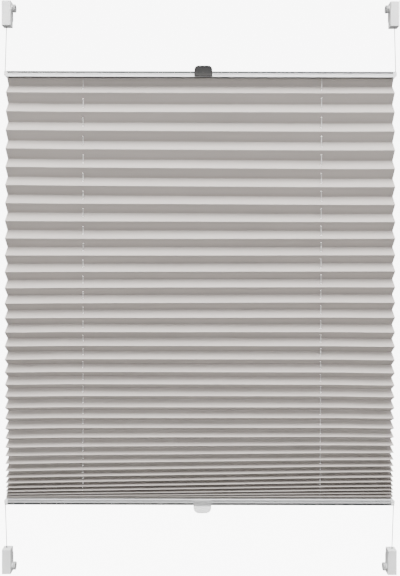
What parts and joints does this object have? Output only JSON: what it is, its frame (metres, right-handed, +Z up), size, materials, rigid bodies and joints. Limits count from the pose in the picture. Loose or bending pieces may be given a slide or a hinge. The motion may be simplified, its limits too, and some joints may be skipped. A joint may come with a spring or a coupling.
{
  "type": "pleated blind",
  "caption": "No-drill pleated window blind: a folded fabric between two rails that slide on tensioned cords held by clamp brackets.",
  "frame": {"origin": "middle of the blind's width, in the plane of the cords, at the lowest face of the lower brackets", "axes": "+Z up along the cords, +X across the blind to the right as seen from the room, the room side faces -Y and the window sash is at +Y"},
  "size_m": [0.6092, 0.0327, 0.8824],
  "materials": {
    "rail_white": "satin white coating",
    "cap_white": "satin white plastic",
    "strip": "plain extruded plastic",
    "guide": "slick natural acetal",
    "smoke_handle": "smoky grey translucent plastic",
    "clear_handle": "clear frosted plastic",
    "fabric": "warm grey pleated polyester",
    "cord": "braided polyester cord",
    "screw": "zinc plated",
    "bracket_white": "satin moulded plastic",
    "pad": "soft matt rubber",
    "hook": "white coated steel",
    "wheel_grey": "moulded grey plastic"
  },
  "bodies": {
    "brackets": {"pleated_fabric": "fabric", "cord_left": "cord", "cord_right": "cord", "bracket_screws": "screw", "housing_upper_left": "bracket_white", "clamp_base_upper_left": "bracket_white", "sash_pad_upper_left": "pad", "housing_upper_right": "bracket_white", "clamp_base_upper_right": "bracket_white", "sash_pad_upper_right": "pad", "housing_lower_left": "bracket_white", "clamp_base_lower_left": "bracket_white", "sash_pad_lower_left": "pad", "housing_lower_right": "bracket_white", "clamp_base_lower_right": "bracket_white", "sash_pad_lower_right": "pad"},
    "upper_rail": {"upper_rail": "rail_white", "upper_fabric_strip": "strip", "upper_handle": "smoke_handle", "upper_end_cap_left": "cap_white", "upper_end_cap_right": "cap_white", "upper_cord_guide_left": "guide", "upper_cord_guide_right": "guide"},
    "lower_rail": {"lower_rail": "rail_white", "lower_fabric_strip": "strip", "lower_handle": "clear_handle", "lower_end_cap_left": "cap_white", "lower_end_cap_right": "cap_white", "lower_cord_guide_left": "guide", "lower_cord_guide_right": "guide"},
    "clamp_upper_left": {"clamp_hook_upper_left": "hook", "hook_pad_upper_left": "pad"},
    "tensioner_upper_left": {"cord_drum_upper_left": "wheel_grey", "tension_wheel_upper_left": "wheel_grey"},
    "clamp_upper_right": {"clamp_hook_upper_right": "hook", "hook_pad_upper_right": "pad"},
    "tensioner_upper_right": {"cord_drum_upper_right": "wheel_grey", "tension_wheel_upper_right": "wheel_grey"},
    "clamp_lower_left": {"clamp_hook_lower_left": "hook", "hook_pad_lower_left": "pad"},
    "tensioner_lower_left": {"cord_drum_lower_left": "wheel_grey", "tension_wheel_lower_left": "wheel_grey"},
    "clamp_lower_right": {"clamp_hook_lower_right": "hook", "hook_pad_lower_right": "pad"},
    "tensioner_lower_right": {"cord_drum_lower_right": "wheel_grey", "tension_wheel_lower_right": "wheel_grey"}
  },
  "joints": [
    {"name": "upper_rail_slide", "type": "slide", "parent": "brackets", "child": "upper_rail", "axis": [0, 0, 1], "range_m": [-0.3, 0.0695], "deforming": ["pleated_fabric", "cord_left", "cord_right"]},
    {"name": "lower_rail_slide", "type": "slide", "parent": "brackets", "child": "lower_rail", "axis": [0, 0, 1], "range_m": [-0.0695, 0.3], "deforming": ["pleated_fabric", "cord_left", "cord_right"]},
    {"name": "clamp_upper_left_slide", "type": "slide", "parent": "brackets", "child": "clamp_upper_left", "axis": [0, 1, 0], "range_m": [0, 0.011]},
    {"name": "tension_wheel_upper_left_turn", "type": "hinge", "parent": "brackets", "child": "tensioner_upper_left", "pos_m": [-0.299, 0.0026, 0.8732], "axis": [-1, 0, 0], "range_deg": [-270, 900]},
    {"name": "clamp_upper_right_slide", "type": "slide", "parent": "brackets", "child": "clamp_upper_right", "axis": [0, 1, 0], "range_m": [0, 0.011]},
    {"name": "tension_wheel_upper_right_turn", "type": "hinge", "parent": "brackets", "child": "tensioner_upper_right", "pos_m": [0.299, 0.0026, 0.8732], "axis": [-1, 0, 0], "range_deg": [-270, 900]},
    {"name": "clamp_lower_left_slide", "type": "slide", "parent": "brackets", "child": "clamp_lower_left", "axis": [0, 1, 0], "range_m": [0, 0.011]},
    {"name": "tension_wheel_lower_left_turn", "type": "hinge", "parent": "brackets", "child": "tensioner_lower_left", "pos_m": [-0.299, 0.0026, 0.0092], "axis": [1, 0, 0], "range_deg": [-270, 900]},
    {"name": "clamp_lower_right_slide", "type": "slide", "parent": "brackets", "child": "clamp_lower_right", "axis": [0, 1, 0], "range_m": [0, 0.011]},
    {"name": "tension_wheel_lower_right_turn", "type": "hinge", "parent": "brackets", "child": "tensioner_lower_right", "pos_m": [0.299, 0.0026, 0.0092], "axis": [1, 0, 0], "range_deg": [-270, 900]}
  ]
}
